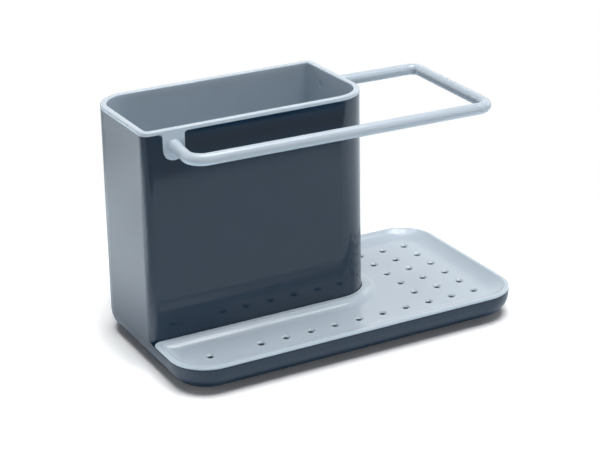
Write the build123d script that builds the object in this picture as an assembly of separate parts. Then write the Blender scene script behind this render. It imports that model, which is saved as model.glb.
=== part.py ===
import math
import os

from build123d import *

# Kitchen sink caddy: a tall brush compartment over one end of a shallow tub, with a cloth rail
# round its front and right side and a drip tray on the rest of the tub. Lengths are in
# millimetres. X runs along the tub, Y runs from front to back and Z points up. The origin is
# the middle of the footprint, on the surface that the caddy stands on.

# Overall size
overall_length = 205.0
overall_depth = 115.0
overall_height = 130.5

# Tub under the tray, moulded in one with the tower, with a fine reveal under the tray's lip
tub_top = 15.2
tub_corner_radius = 21.2
tub_edge_radius = 11.5
tub_wall = 2.0
tub_floor = 2.6
reveal_height = 0.5
reveal_depth = 0.5

# Tower: its footprint at the top of the tub, and how far each side leans in by the rim. Its
# setback is how far its front stands behind the tub's
tower_length = 135.1
tower_setback = 43.8
tower_lean_left = 1.2
tower_lean_back = 0.2
tower_lean_front = 0.3
tower_lean_right = 0.2
tower_front_left_radius = 5.0
tower_front_right_radius = 20.2
tower_back_right_radius = 3.5
tower_back_left_radius = 19.6
shell_wall = 1.8
shell_inner_radius = 1.2

# Slots at the foot of the tower walls that let the tower drain into the tub
drain_slot_width = 26.0
drain_slot_height = 4.0

# Feet
foot_diameter = 12.0
foot_thickness = 2.4
foot_protrusion = 1.2
foot_inset = 26.0
foot_edge_radius = 0.5

# Lift-out liner of the tower
rim_thickness = 2.0
rim_edge_radius = 0.8
liner_clearance = 0.2
liner_wall = 1.4
liner_floor = 1.8
liner_taper = 1.4
liner_sump = 8.0
liner_corner_radius = 3.4
liner_edge_radius = 2.0
liner_inner_edge_radius = 1.0

# Tabs that hang from the rim in notches of the shell and carry the rail
tab_width = 12.1
tab_height = 14.6
tab_proud = 0.3
tab_flare_radius = 1.6
notch_clearance = 0.3

# Cloth rail: a round rod, placed from the sides of the tub and from the top of the rim, with a
# flared root at each end. Its slope is how far it falls to the right for each millimetre, its
# tilt how far it falls to the front, and its lean how far the front end runs left of its tab
rail_diameter = 6.4
rail_spigot_diameter = 4.6
rail_spigot_recess = 0.4
rail_seat_gap = 0.05
rail_drop = 9.1
rail_slope = 0.009
rail_tilt = 0.023
rail_lean = 1.5
rail_straight = 3.0
rail_bend_radius = 7.8
rail_back_bend_radius = 5.2
rail_root_flare = 0.9
rail_root_land = 0.2
rail_root_cove_radius = 1.0
rail_left_inset = 18.2
rail_front_inset = 19.0
rail_right_inset = 11.8
rail_back_inset = 19.5

# Drip tray
lip_thickness = 1.5
lip_width = 2.2
lip_edge_chamfer = 0.5
flange_width = 3.0
flange_drop = 0.9
flange_ramp = 6.0
tray_clearance = 0.4
tray_corner_radius = 5.0
tray_plate = 1.6
tray_bowl_gap = 0.5
tray_bowl_chamfer = 1.6
basin_depth = 4.0
basin_cove_radius = 18.0
flange_cove_radius = 8.0

# Drain holes in the tray and in the liner's floor. The margin is the least distance from a hole
# to the tray's outer edge and to the tower
hole_diameter = 3.3
hole_sink_diameter = 5.2
hole_sink_depth = 0.8
hole_pitch = 14.8
hole_margin = 18.0
hole_shift = 1.4
bare_column = 1

# One overrun for every cut, and how level an edge has to be to be picked by its height
overrun = 5.0
level_tolerance = 0.001

left = -overall_length / 2
right = overall_length / 2
front = -overall_depth / 2
back = overall_depth / 2

tub_bottom = foot_protrusion
tub_floor_top = tub_bottom + tub_floor
shell_top = overall_height - rim_thickness
tower_right = left + tower_length
tower_front = front + tower_setback
tower_depth = back - tower_front
lip_top = tub_top + lip_thickness
flange_top = lip_top - flange_drop
basin_floor = lip_top - basin_depth
liner_bottom = tub_floor_top + liner_sump
liner_inset = shell_wall + liner_clearance


def outline(points, radii, z):
    """A level face through the points, with a fillet at each of them."""
    path = FilletPolyline(*points, radius=radii, close=True)
    return Pos(0, 0, z) * make_face(path.edges())


def tub_outline(z, inset=0.0):
    points = [
        (left + inset, front + inset),
        (right - inset, front + inset),
        (right - inset, back - inset),
        (left + inset, back - inset),
    ]
    radii = [tub_corner_radius - inset] * (len(points) - 1) + [tower_back_left_radius - inset]
    return outline(points, radii, z)


def tower_outline(z, inset=0.0, lean=0.0, least_radius=shell_inner_radius):
    """The tower's section; lean runs from 0 at the top of the tub to 1 at the shell's top."""
    points = [
        (left + tower_lean_left * lean + inset, tower_front + tower_lean_front * lean + inset),
        (tower_right - tower_lean_right * lean - inset, tower_front + tower_lean_front * lean + inset),
        (tower_right - tower_lean_right * lean - inset, back - tower_lean_back * lean - inset),
        (left + tower_lean_left * lean + inset, back - tower_lean_back * lean - inset),
    ]
    radii = [
        tower_front_left_radius - inset,
        tower_front_right_radius - inset,
        tower_back_right_radius - inset,
        tower_back_left_radius - inset,
    ]
    return outline(points, [max(radius, least_radius) for radius in radii], z)


def tray_outline(z, outer_inset, tower_inset, end_radius):
    """The tray's L shape, set in from the tub's sides and from the tower's walls. The radius at
    each end is limited by what the tub's corner leaves of that arm."""
    tower_gap = tray_clearance + tower_inset
    points = [
        (left + outer_inset, front + outer_inset),
        (right - outer_inset, front + outer_inset),
        (right - outer_inset, back - outer_inset),
        (tower_right + tower_gap, back - outer_inset),
        (tower_right + tower_gap, tower_front - tower_gap),
        (left + outer_inset, tower_front - tower_gap),
    ]
    corner = tub_corner_radius - outer_inset
    hug = tower_front_right_radius + tower_gap
    right_arm = right - outer_inset - tower_right - tower_gap
    front_arm = tower_front - tower_gap - front - outer_inset
    right_end, front_end = [min(end_radius, (arm - corner) / 2) for arm in (right_arm, front_arm)]
    return outline(points, [corner, corner, corner, right_end, hug, front_end], z)


def edges_at(solid, z):
    """The level edges of a solid that lie at one height."""
    return solid.edges().filter_by(lambda edge: is_level_at(edge, z))


def is_level_at(edge, z):
    box = edge.bounding_box()
    return abs(box.min.Z - z) < level_tolerance and abs(box.max.Z - z) < level_tolerance


def tab_outlines(grow=0.0, rise=0.0):
    """A tab's stem and round tip, two faces that overlap, hanging from the origin along -Y."""
    width = tab_width + 2 * grow
    height = tab_height + grow
    end = width / 2
    stem = Pos(0, (rise + end - height) / 2) * Rectangle(width, height - end + rise)
    tip = Pos(0, end - height) * Circle(end)
    return [stem, tip]


def tab_root():
    """The flared root of a tab, with a quarter-round hollow on each side."""
    end = tab_width / 2
    root = Pos(0, -tab_flare_radius / 2) * Rectangle(tab_width + 2 * tab_flare_radius, tab_flare_radius)
    for side in (-1, 1):
        root -= Pos(side * (end + tab_flare_radius), -tab_flare_radius) * Circle(tab_flare_radius)
    return root


def notch_root():
    """The notch's root, flared at 45 degrees, which clears the tab's."""
    end = tab_width / 2 + notch_clearance
    reach = end + tab_flare_radius
    points = [(-end, -tab_flare_radius), (end, -tab_flare_radius), (reach, 0), (reach, overrun)]
    points += [(-reach, overrun), (-reach, 0)]
    return make_face(Polyline(*points, close=True).edges())


# Each tab's frame: its origin is on the shell's outer face under the rim, Z points outwards
front_tab_frame = Plane(
    origin=(left + rail_left_inset, tower_front + tower_lean_front, shell_top),
    x_dir=(1, 0, 0),
    z_dir=(0, -1, 0),
)
right_tab_frame = Plane(
    origin=(tower_right - tower_lean_right, back - rail_back_inset, shell_top),
    x_dir=(0, 1, 0),
    z_dir=(1, 0, 0),
)
tab_frames = [front_tab_frame, right_tab_frame]


def rail_z(x, y):
    """The height of the rail's centre line."""
    start = front_tab_frame.origin
    return overall_height - rail_drop - rail_slope * (x - start.X) + rail_tilt * (y - start.Y)


def tab_rods(diameter, start, end):
    """A rod along the rail's axis at each tab, from one depth to another along the tab's Z."""
    rod = Cylinder(diameter / 2, end - start, align=(Align.CENTER, Align.CENTER, Align.MIN))
    return [frame * Pos(0, rail_level(frame), start) * rod for frame in tab_frames]


def rail_level(frame):
    """The rail's axis in a tab's frame; it is under the origin, so this is below 0."""
    return rail_z(frame.origin.X, frame.origin.Y) - shell_top


def make_outer_body():
    tub = extrude(tub_outline(tub_bottom), tub_top - tub_bottom)
    tub = fillet(edges_at(tub, tub_bottom), tub_edge_radius)
    hollow = extrude(tub_outline(tub_floor_top, tub_wall), tub_top - tub_floor_top + overrun)
    hollow = fillet(edges_at(hollow, tub_floor_top), tub_edge_radius - tub_wall)

    shell = loft([tower_outline(tub_top), tower_outline(shell_top, lean=1)], ruled=True)
    bore = loft(
        [tower_outline(tub_top, shell_wall), tower_outline(shell_top, shell_wall, lean=1)],
        ruled=True,
    )
    skirt = extrude(tower_outline(tub_bottom) - tower_outline(tub_bottom, shell_wall), tub_top - tub_bottom)

    body = (tub - hollow) + (skirt & tub) + (shell - bore) - reveal()
    for frame in tab_frames:
        for face in tab_outlines(notch_clearance, overrun) + [notch_root()]:
            body -= frame * Pos(0, 0, -shell_wall - overrun) * extrude(face, shell_wall + 2 * overrun)

    slot = Box(
        drain_slot_width,
        shell_wall + 2 * overrun,
        drain_slot_height,
        align=(Align.CENTER, Align.CENTER, Align.MIN),
    )
    body -= Pos(left + tower_length / 2, tower_front + shell_wall / 2, tub_floor_top) * slot
    body -= Pos(tower_right - shell_wall / 2, back - tower_depth / 2, tub_floor_top) * Rot(0, 0, 90) * slot

    recess = Cylinder(
        foot_diameter / 2,
        foot_thickness - foot_protrusion + overrun,
        align=(Align.CENTER, Align.CENTER, Align.MIN),
    )
    for x, y in foot_places().values():
        body -= Pos(x, y, tub_bottom - overrun) * recess
    return body


def reveal():
    """A band along the tub's outer edge under the tray's lip, to cut from the tub."""
    z = tub_top - reveal_height
    band = tray_outline(z, -overrun, 0, tray_corner_radius) - tub_outline(z, reveal_depth)
    return extrude(band, reveal_height + overrun)


def foot_places():
    return {
        "foot_front_left": (left + foot_inset, front + foot_inset),
        "foot_front_right": (right - foot_inset, front + foot_inset),
        "foot_back_left": (left + foot_inset, back - foot_inset),
        "foot_back_right": (right - foot_inset, back - foot_inset),
    }


def make_foot(x, y):
    foot = Cylinder(foot_diameter / 2, foot_thickness, align=(Align.CENTER, Align.CENTER, Align.MIN))
    foot = fillet(edges_at(foot, 0), foot_edge_radius)
    return Pos(x, y, 0) * foot


def make_inner_liner():
    rim = extrude(tower_outline(shell_top, lean=1), rim_thickness)
    rim = fillet(edges_at(rim, overall_height), rim_edge_radius)
    bucket = loft(
        [
            tower_outline(liner_bottom, liner_inset + liner_taper, 1, liner_corner_radius),
            tower_outline(shell_top, liner_inset, 1, liner_corner_radius),
        ],
        ruled=True,
    )
    bucket = fillet(edges_at(bucket, liner_bottom), liner_edge_radius)
    liner = rim + bucket

    for frame in tab_frames:
        depth = liner_inset + liner_wall / 2
        for face in tab_outlines() + [tab_root()]:
            liner += frame * Pos(0, 0, -depth) * extrude(face, depth + tab_proud)

    inner = liner_inset + liner_wall
    inner_corner_radius = liner_corner_radius - liner_wall
    floor_top = liner_bottom + liner_floor
    cavity = loft(
        [
            tower_outline(floor_top, inner + liner_taper, 1, inner_corner_radius),
            tower_outline(overall_height, inner, 1, inner_corner_radius),
        ],
        ruled=True,
    )
    cavity = fillet(edges_at(cavity, floor_top), liner_inner_edge_radius)
    liner -= cavity
    liner = fillet(inner_rim_edges(liner, inner), rim_edge_radius)
    for bore in tab_rods(rail_spigot_diameter, -inner - overrun, tab_proud + overrun):
        liner -= bore

    first = (left + tower_length / 2, tower_front + tower_depth / 2)
    columns = int((tower_length - 2 * (inner + hole_pitch / 2)) / hole_pitch)
    rows = int((tower_depth - 2 * (inner + hole_pitch / 2)) / hole_pitch)
    drill = Cylinder(hole_diameter / 2, liner_floor + 2 * overrun)
    for column in range(columns):
        for row in range(rows):
            x = first[0] + (column - (columns - 1) / 2) * hole_pitch
            y = first[1] + (row - (rows - 1) / 2) * hole_pitch
            liner -= Pos(x, y, liner_bottom) * drill
    return liner


def inner_rim_edges(liner, inset):
    """The edges round the liner's mouth: the level ones at the top that lie inside the rim."""
    reach = inset - rim_edge_radius / 2
    mouth = extrude(tower_outline(shell_top, reach, 1), 2 * rim_thickness)
    box = mouth.bounding_box()
    edges = edges_at(liner, overall_height)
    return [edge for edge in edges if is_inside(edge.bounding_box(), box)]


def is_inside(inner, outer):
    low = inner.min.X > outer.min.X and inner.min.Y > outer.min.Y
    return low and inner.max.X < outer.max.X and inner.max.Y < outer.max.Y


def rail_path():
    """The rail's centre line from the front tab's face round to the right tab's face."""
    start = front_tab_frame.origin
    end = right_tab_frame.origin
    seat = tab_proud + rail_seat_gap
    rail_front = front + rail_front_inset
    rail_right = right - rail_right_inset
    start_z = rail_z(start.X, start.Y)
    points = [(start.X, start.Y - seat, start_z), (start.X, start.Y - seat - rail_straight, start_z)]
    for x, y in [
        (start.X - rail_lean, rail_front),
        (rail_right, rail_front),
        (rail_right, end.Y),
        (end.X + seat, end.Y),
    ]:
        points.append((x, y, rail_z(x, y)))
    radii = [rail_bend_radius] * 3 + [rail_back_bend_radius]
    return FilletPolyline(*points, radius=radii)


def make_cloth_rail():
    path = rail_path()
    section = Plane(origin=path @ 0, z_dir=path % 0) * Circle(rail_diameter / 2)
    rod = sweep(section, path=path)
    inner_face = -liner_inset - liner_wall + rail_spigot_recess
    for spigot in tab_rods(rail_spigot_diameter, inner_face, tab_proud + rail_straight):
        rod += spigot
    for frame in tab_frames:
        seat = Pos(0, rail_level(frame), tab_proud + rail_seat_gap)
        rod += frame * seat * rail_root()
    return rod


def rail_root():
    """The rail's flared root: a disc on a tab's face, hollowed all round above a thin land."""
    reach = rail_diameter / 2 + rail_root_flare
    height = rail_root_land + rail_root_cove_radius
    disc = Cylinder(reach, height, align=(Align.CENTER, Align.CENTER, Align.MIN))
    return disc - Pos(0, 0, height) * Torus(reach, rail_root_cove_radius)


def hole_places():
    """Drain holes: a row along the front, and full columns where the tower leaves room."""
    columns = hole_count(overall_length)
    rows = hole_count(overall_depth)
    first_x = left + (overall_length - (columns - 1) * hole_pitch) / 2 + hole_shift
    first_y = front + (overall_depth - (rows - 1) * hole_pitch) / 2
    places = []
    for column in range(columns):
        x = first_x + column * hole_pitch
        deep = rows if x > tower_right + hole_margin else 1
        for row in range(deep):
            if column != bare_column:
                places.append((x, first_y + row * hole_pitch))
    return places


def hole_count(size):
    """How many holes fit along a side of the tray."""
    return int((size - 2 * hole_margin) / hole_pitch) + 1


def make_drip_tray():
    lip = loft(
        [
            tray_outline(flange_top, 0, flange_width, tray_corner_radius),
            tray_outline(lip_top - lip_edge_chamfer, 0, flange_width + flange_ramp / 2, tray_corner_radius),
            tray_outline(lip_top, lip_edge_chamfer, flange_width + flange_ramp, tray_corner_radius),
        ],
        ruled=True,
    )
    seat = extrude(tray_outline(tub_top, 0, 0, tray_corner_radius), flange_top - tub_top)
    bowl_inset = tub_wall + tray_bowl_gap
    bowl_bottom = basin_floor - tray_plate
    bowl = loft(
        [
            tray_outline(bowl_bottom, bowl_inset + tray_bowl_chamfer, tray_bowl_chamfer, tray_corner_radius),
            tray_outline(bowl_bottom + tray_bowl_chamfer, bowl_inset, 0, tray_corner_radius),
        ],
        ruled=True,
    )
    bowl += extrude(
        tray_outline(bowl_bottom + tray_bowl_chamfer, bowl_inset, 0, tray_corner_radius),
        tub_top - bowl_bottom - tray_bowl_chamfer,
    )
    tray = lip + seat + bowl

    tray -= basin_space()

    drill = Cylinder(hole_diameter / 2, tray_plate + 2 * overrun)
    sink = Cone(
        hole_diameter / 2,
        hole_sink_diameter / 2,
        hole_sink_depth,
        align=(Align.CENTER, Align.CENTER, Align.MAX),
    )
    for x, y in hole_places():
        tray -= Pos(x, y, basin_floor) * drill
        tray -= Pos(x, y, basin_floor) * sink
    return tray


def basin_space():
    """What the basin is hollowed by: a block coved along the lip, less a coved foot of the tower."""
    height = basin_cove_radius + overrun
    lip_inset = lip_width - cove_reach(basin_depth, basin_cove_radius)
    block = extrude(tub_outline(basin_floor, lip_inset), height)
    block = fillet(edges_at(block, basin_floor), basin_cove_radius)
    flange_inset = flange_width - cove_reach(basin_depth - flange_drop, flange_cove_radius)
    clear = lip_inset - flange_cove_radius - overrun
    round_tower = extrude(tray_outline(basin_floor, clear, flange_inset, 0), height)
    return block & fillet(edges_at(round_tower, basin_floor), flange_cove_radius)


def cove_reach(height, radius):
    """How far in from a block's side its coved bottom edge is at a height over the floor."""
    fall = radius - height
    return radius - math.sqrt(radius**2 - fall**2)


nodes = {
    "outer_body": make_outer_body(),
    "inner_liner": make_inner_liner(),
    "cloth_rail": make_cloth_rail(),
    "drip_tray": make_drip_tray(),
}
for name, (x, y) in foot_places().items():
    nodes[name] = make_foot(x, y)

os.makedirs("parts", exist_ok=True)
for name, shape in nodes.items():
    export_step(shape, os.path.join("parts", name + ".step"))
    print(name, "solids", len(shape.solids()), "volume", round(shape.volume))
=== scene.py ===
import math

import bpy
from mathutils import Matrix, Vector

# Looks of a kitchen sink caddy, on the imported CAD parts. Lengths are in metres, angles in degrees
# and the lamps' power in watts. Colours are linear.

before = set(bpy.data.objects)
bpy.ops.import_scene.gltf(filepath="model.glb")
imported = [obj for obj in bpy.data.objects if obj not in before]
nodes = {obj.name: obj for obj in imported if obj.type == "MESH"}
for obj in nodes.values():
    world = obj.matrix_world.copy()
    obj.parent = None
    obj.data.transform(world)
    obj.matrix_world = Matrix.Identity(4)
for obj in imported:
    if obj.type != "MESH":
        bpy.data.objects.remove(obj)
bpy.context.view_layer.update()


# Camera: where it stands, which way it looks, its roll, its lens and how near and far it sees
camera_place = Vector((-0.407363, -0.755645, 0.403256))
camera_azimuth = -27.9575
camera_elevation = 22.0041
camera_roll = -1.1704
camera_lens = 101.86
camera_sensor = 36.0
camera_near = 0.05
camera_far = 20.0

# World: how bright it is to matt surfaces, and in reflections low down behind, high up behind and
# in front. The bands are the heights and depths of a direction where one gives way to the next
world_white = (1.0, 1.0, 1.0, 1.0)
world_shown = 1.0
world_light = 0.03
world_low = 1.0
world_high = 0.22
world_front = 0.38
world_height_band = (0.47, 0.66)
world_depth_band = (-0.35, 0.25)

# Floor: its colour to light, its colour to the camera, how far it reaches to the back and sides,
# how far to the front, and the distances from the origin where the camera starts to see it white
floor_colour = (0.78, 0.86, 0.92, 1.0)
floor_shown_colour = (1.25, 1.26, 1.27, 1.0)
floor_reach = 3.0
floor_front = 0.28
floor_fade = (0.13, 0.25)

# Lamps: name, place, target, width, height, power and spread. The pool lamps hang low beside the
# object and shine straight down on the floor. They also brighten the object, its left face most
middle = (0.0, 0.0, 0.06)
lamps = [
    ("top_lamp", (0.0, 0.0, 1.3), middle, 1.0, 1.0, 10.5, 180),
    ("top_right_lamp", (0.3, -0.1, 1.3), middle, 0.7, 0.7, 7.8, 180),
    ("right_lamp", (1.4, 0.1, 0.5), middle, 0.8, 0.5, 1.3, 180),
    ("front_right_lamp", (0.9, -1.1, 0.45), middle, 0.8, 0.5, 1.2, 180),
    ("low_front_lamp", (-0.15, -1.3, 0.14), middle, 1.2, 0.14, 4.3, 180),
    ("low_left_lamp", (-1.3, 0.5, 0.25), (0.0, 0.0, 0.0), 0.8, 0.3, 2.6, 180),
    ("pool_lamp_near", (-0.15, 0.1, 0.2), (-0.15, 0.1, 0.0), 0.05, 0.35, 0.065, 30),
    ("pool_lamp_middle", (-0.22, 0.15, 0.2), (-0.22, 0.15, 0.0), 0.12, 0.32, 0.10, 40),
    ("pool_lamp_far", (-0.33, 0.2, 0.24), (-0.33, 0.2, 0.0), 0.16, 0.5, 0.50, 50),
    ("pool_lamp_right", (0.3, 0.0, 0.3), (0.3, 0.0, 0.0), 0.25, 0.5, 0.20, 50),
]

# Plastics: two near colours and two near roughnesses that noise goes between, the grain's scale
# and depth, and the index of refraction
dark_plastic_values = {
    "colours": ((0.0020, 0.0195, 0.0450, 1.0), (0.0028, 0.0225, 0.0510, 1.0)),
    "roughness": (0.06, 0.10),
    "grain_scale": 900.0,
    "grain_depth": 0.000002,
    "ior": 1.60,
}
pale_plastic_values = {
    "colours": ((0.548, 0.638, 0.722, 1.0), (0.571, 0.661, 0.744, 1.0)),
    "roughness": (0.05, 0.09),
    "grain_scale": 1400.0,
    "grain_depth": 0.000001,
    "ior": 1.46,
}
foot_rubber_values = {
    "colours": ((0.020, 0.021, 0.023, 1.0), (0.030, 0.031, 0.033, 1.0)),
    "roughness": (0.70, 0.85),
    "grain_scale": 1800.0,
    "grain_depth": 0.000020,
    "ior": 1.45,
}

# Noise in every plastic: scale, detail and roughness of the pigment's and the gloss's clouds,
# detail and roughness of the grain, and the part of the noise's range that is used
pigment_noise = (38.0, 3.0, 0.55)
gloss_noise = (120.0, 4.0, 0.6)
grain_noise = (2.0, 0.5)
noise_band = (0.3, 0.7)

# Sockets of Blender's colour mix, and how far apart nodes stand in the editor
mix_from = 6
mix_to = 7
mix_result = 2
node_step = 220


def new_material(name):
    material = bpy.data.materials.new(name)
    material.use_nodes = True
    material.node_tree.nodes.clear()
    return material


def add_node(tree, kind, **values):
    node = tree.nodes.new(kind)
    node.location = (node_step * len(tree.nodes), 0)
    for key, value in values.items():
        setattr(node, key, value)
    return node


def add_noise(tree, scale, detail, roughness):
    """Noise over the object's own coordinates, which are metres."""
    coordinates = add_node(tree, "ShaderNodeTexCoord")
    noise = add_node(tree, "ShaderNodeTexNoise")
    noise.inputs["Scale"].default_value = scale
    noise.inputs["Detail"].default_value = detail
    noise.inputs["Roughness"].default_value = roughness
    tree.links.new(coordinates.outputs["Object"], noise.inputs["Vector"])
    return noise.outputs["Fac"]


def add_ramp(tree, source, colours):
    """The colour at the noise's place between two colours."""
    ramp = add_node(tree, "ShaderNodeValToRGB")
    for element, place, colour in zip(ramp.color_ramp.elements, noise_band, colours):
        element.position = place
        element.color = colour
    tree.links.new(source, ramp.inputs["Fac"])
    return ramp.outputs["Color"]


def add_range(tree, source, band, values, **settings):
    """The value between two values at the source's place in a band; a value may be an output."""
    spread = add_node(tree, "ShaderNodeMapRange", **settings)
    tree.links.new(source, spread.inputs["Value"])
    for name, edge in zip(("From Min", "From Max"), band):
        spread.inputs[name].default_value = edge
    for name, value in zip(("To Min", "To Max"), values):
        if isinstance(value, float):
            spread.inputs[name].default_value = value
        else:
            tree.links.new(value, spread.inputs[name])
    return spread.outputs["Result"]


def moulded_plastic(name, values):
    """Moulded plastic: the pigment and the gloss vary a little, and a fine grain bends the light."""
    material = new_material(name)
    tree = material.node_tree
    output = add_node(tree, "ShaderNodeOutputMaterial")
    shader = add_node(tree, "ShaderNodeBsdfPrincipled")
    shader.inputs["IOR"].default_value = values["ior"]
    tree.links.new(shader.outputs["BSDF"], output.inputs["Surface"])
    pigment = add_ramp(tree, add_noise(tree, *pigment_noise), values["colours"])
    tree.links.new(pigment, shader.inputs["Base Color"])
    gloss = add_range(tree, add_noise(tree, *gloss_noise), noise_band, values["roughness"])
    tree.links.new(gloss, shader.inputs["Roughness"])
    bump = add_node(tree, "ShaderNodeBump")
    bump.inputs["Strength"].default_value = 1.0
    bump.inputs["Distance"].default_value = values["grain_depth"]
    tree.links.new(add_noise(tree, values["grain_scale"], *grain_noise), bump.inputs["Height"])
    tree.links.new(bump.outputs["Normal"], shader.inputs["Normal"])
    return material


def dress_nodes():
    """The outer body is dark plastic, the feet are rubber and all else is pale plastic."""
    dark_plastic = moulded_plastic("dark_plastic_look", dark_plastic_values)
    pale_plastic = moulded_plastic("pale_plastic_look", pale_plastic_values)
    foot_rubber = moulded_plastic("foot_rubber_look", foot_rubber_values)
    for name, node in nodes.items():
        look = pale_plastic
        if name == "outer_body":
            look = dark_plastic
        if name.startswith("foot"):
            look = foot_rubber
        node.data.materials.clear()
        node.data.materials.append(look)


def make_camera():
    data = bpy.data.cameras.new("camera")
    data.lens = camera_lens
    data.sensor_width = camera_sensor
    data.clip_start = camera_near
    data.clip_end = camera_far
    camera = bpy.data.objects.new("camera", data)
    bpy.context.scene.collection.objects.link(camera)
    azimuth = math.radians(camera_azimuth)
    elevation = math.radians(camera_elevation)
    roll = math.radians(camera_roll)
    across = -math.sin(azimuth) * math.cos(elevation)
    ahead = math.cos(azimuth) * math.cos(elevation)
    forward = Vector((across, ahead, -math.sin(elevation)))
    level = Vector((math.cos(azimuth), math.sin(azimuth), 0.0))
    above = level.cross(forward)
    right = level * math.cos(roll) + above * math.sin(roll)
    up = above * math.cos(roll) - level * math.sin(roll)
    turn = Matrix((right, up, -forward)).transposed().to_4x4()
    camera.matrix_world = Matrix.Translation(camera_place) @ turn
    bpy.context.scene.camera = camera


def make_lamp(name, place, target, width, height, power, spread):
    data = bpy.data.lights.new(name, "AREA")
    data.shape = "RECTANGLE"
    data.size = width
    data.size_y = height
    data.energy = power
    data.spread = math.radians(spread)
    lamp = bpy.data.objects.new(name, data)
    bpy.context.scene.collection.objects.link(lamp)
    lamp.location = place
    aim = Vector(target) - Vector(place)
    lamp.rotation_euler = aim.to_track_quat("-Z", "Y").to_euler()
    lamp.visible_camera = False


def floor_look():
    """Matt and pale, brighter to the camera, and away from the object white to the camera."""
    material = new_material("floor_look")
    tree = material.node_tree
    output = add_node(tree, "ShaderNodeOutputMaterial")
    shader = add_node(tree, "ShaderNodeBsdfDiffuse")
    white = add_node(tree, "ShaderNodeEmission")
    seen = add_node(tree, "ShaderNodeLightPath").outputs["Is Camera Ray"]
    mix = add_node(tree, "ShaderNodeMix", data_type="RGBA")
    mix.inputs[mix_from].default_value = floor_colour
    mix.inputs[mix_to].default_value = floor_shown_colour
    tree.links.new(seen, mix.inputs[0])
    tree.links.new(mix.outputs[mix_result], shader.inputs["Color"])
    coordinates = add_node(tree, "ShaderNodeTexCoord")
    distance = add_node(tree, "ShaderNodeVectorMath", operation="LENGTH")
    tree.links.new(coordinates.outputs["Object"], distance.inputs[0])
    far = distance.outputs["Value"]
    fade = add_range(tree, far, floor_fade, (0.0, 1.0), interpolation_type="SMOOTHSTEP")
    shown = add_node(tree, "ShaderNodeMath", operation="MULTIPLY")
    tree.links.new(fade, shown.inputs[0])
    tree.links.new(seen, shown.inputs[1])
    blend = add_node(tree, "ShaderNodeMixShader")
    tree.links.new(shown.outputs["Value"], blend.inputs[0])
    tree.links.new(shader.outputs["BSDF"], blend.inputs[1])
    tree.links.new(white.outputs["Emission"], blend.inputs[2])
    tree.links.new(blend.outputs["Shader"], output.inputs["Surface"])
    return material


def make_floor():
    """A pale floor under the object that ends a little in front of it."""
    mesh = bpy.data.meshes.new("floor")
    corners = [
        (-floor_reach, -floor_front, 0),
        (floor_reach, -floor_front, 0),
        (floor_reach, floor_reach, 0),
        (-floor_reach, floor_reach, 0),
    ]
    mesh.from_pydata(corners, [], [tuple(range(len(corners)))])
    mesh.materials.append(floor_look())
    floor = bpy.data.objects.new("floor", mesh)
    bpy.context.scene.collection.objects.link(floor)


def make_world():
    """White to the camera; in reflections white low down behind, and dimmer high up and in front."""
    world = bpy.data.worlds.new("studio")
    world.use_nodes = True
    tree = world.node_tree
    tree.nodes.clear()
    output = add_node(tree, "ShaderNodeOutputWorld")
    background = add_node(tree, "ShaderNodeBackground")
    ray = add_node(tree, "ShaderNodeLightPath")
    coordinates = add_node(tree, "ShaderNodeTexCoord")
    way = add_node(tree, "ShaderNodeSeparateXYZ")
    tree.links.new(coordinates.outputs["Generated"], way.inputs[0])
    soft = {"interpolation_type": "SMOOTHSTEP"}
    height = way.outputs["Z"]
    behind = add_range(tree, height, world_height_band, (world_low, world_high), **soft)
    depth = way.outputs["Y"]
    room = add_range(tree, depth, world_depth_band, (world_front, behind), **soft)
    light = add_range(tree, ray.outputs["Is Glossy Ray"], (0.0, 1.0), (world_light, room))
    strength = add_range(tree, ray.outputs["Is Camera Ray"], (0.0, 1.0), (light, world_shown))
    background.inputs["Color"].default_value = world_white
    tree.links.new(strength, background.inputs["Strength"])
    tree.links.new(background.outputs["Background"], output.inputs["Surface"])
    bpy.context.scene.world = world


dress_nodes()
make_camera()
make_floor()
make_world()
for lamp in lamps:
    make_lamp(*lamp)

bpy.context.scene.view_settings.view_transform = "Standard"
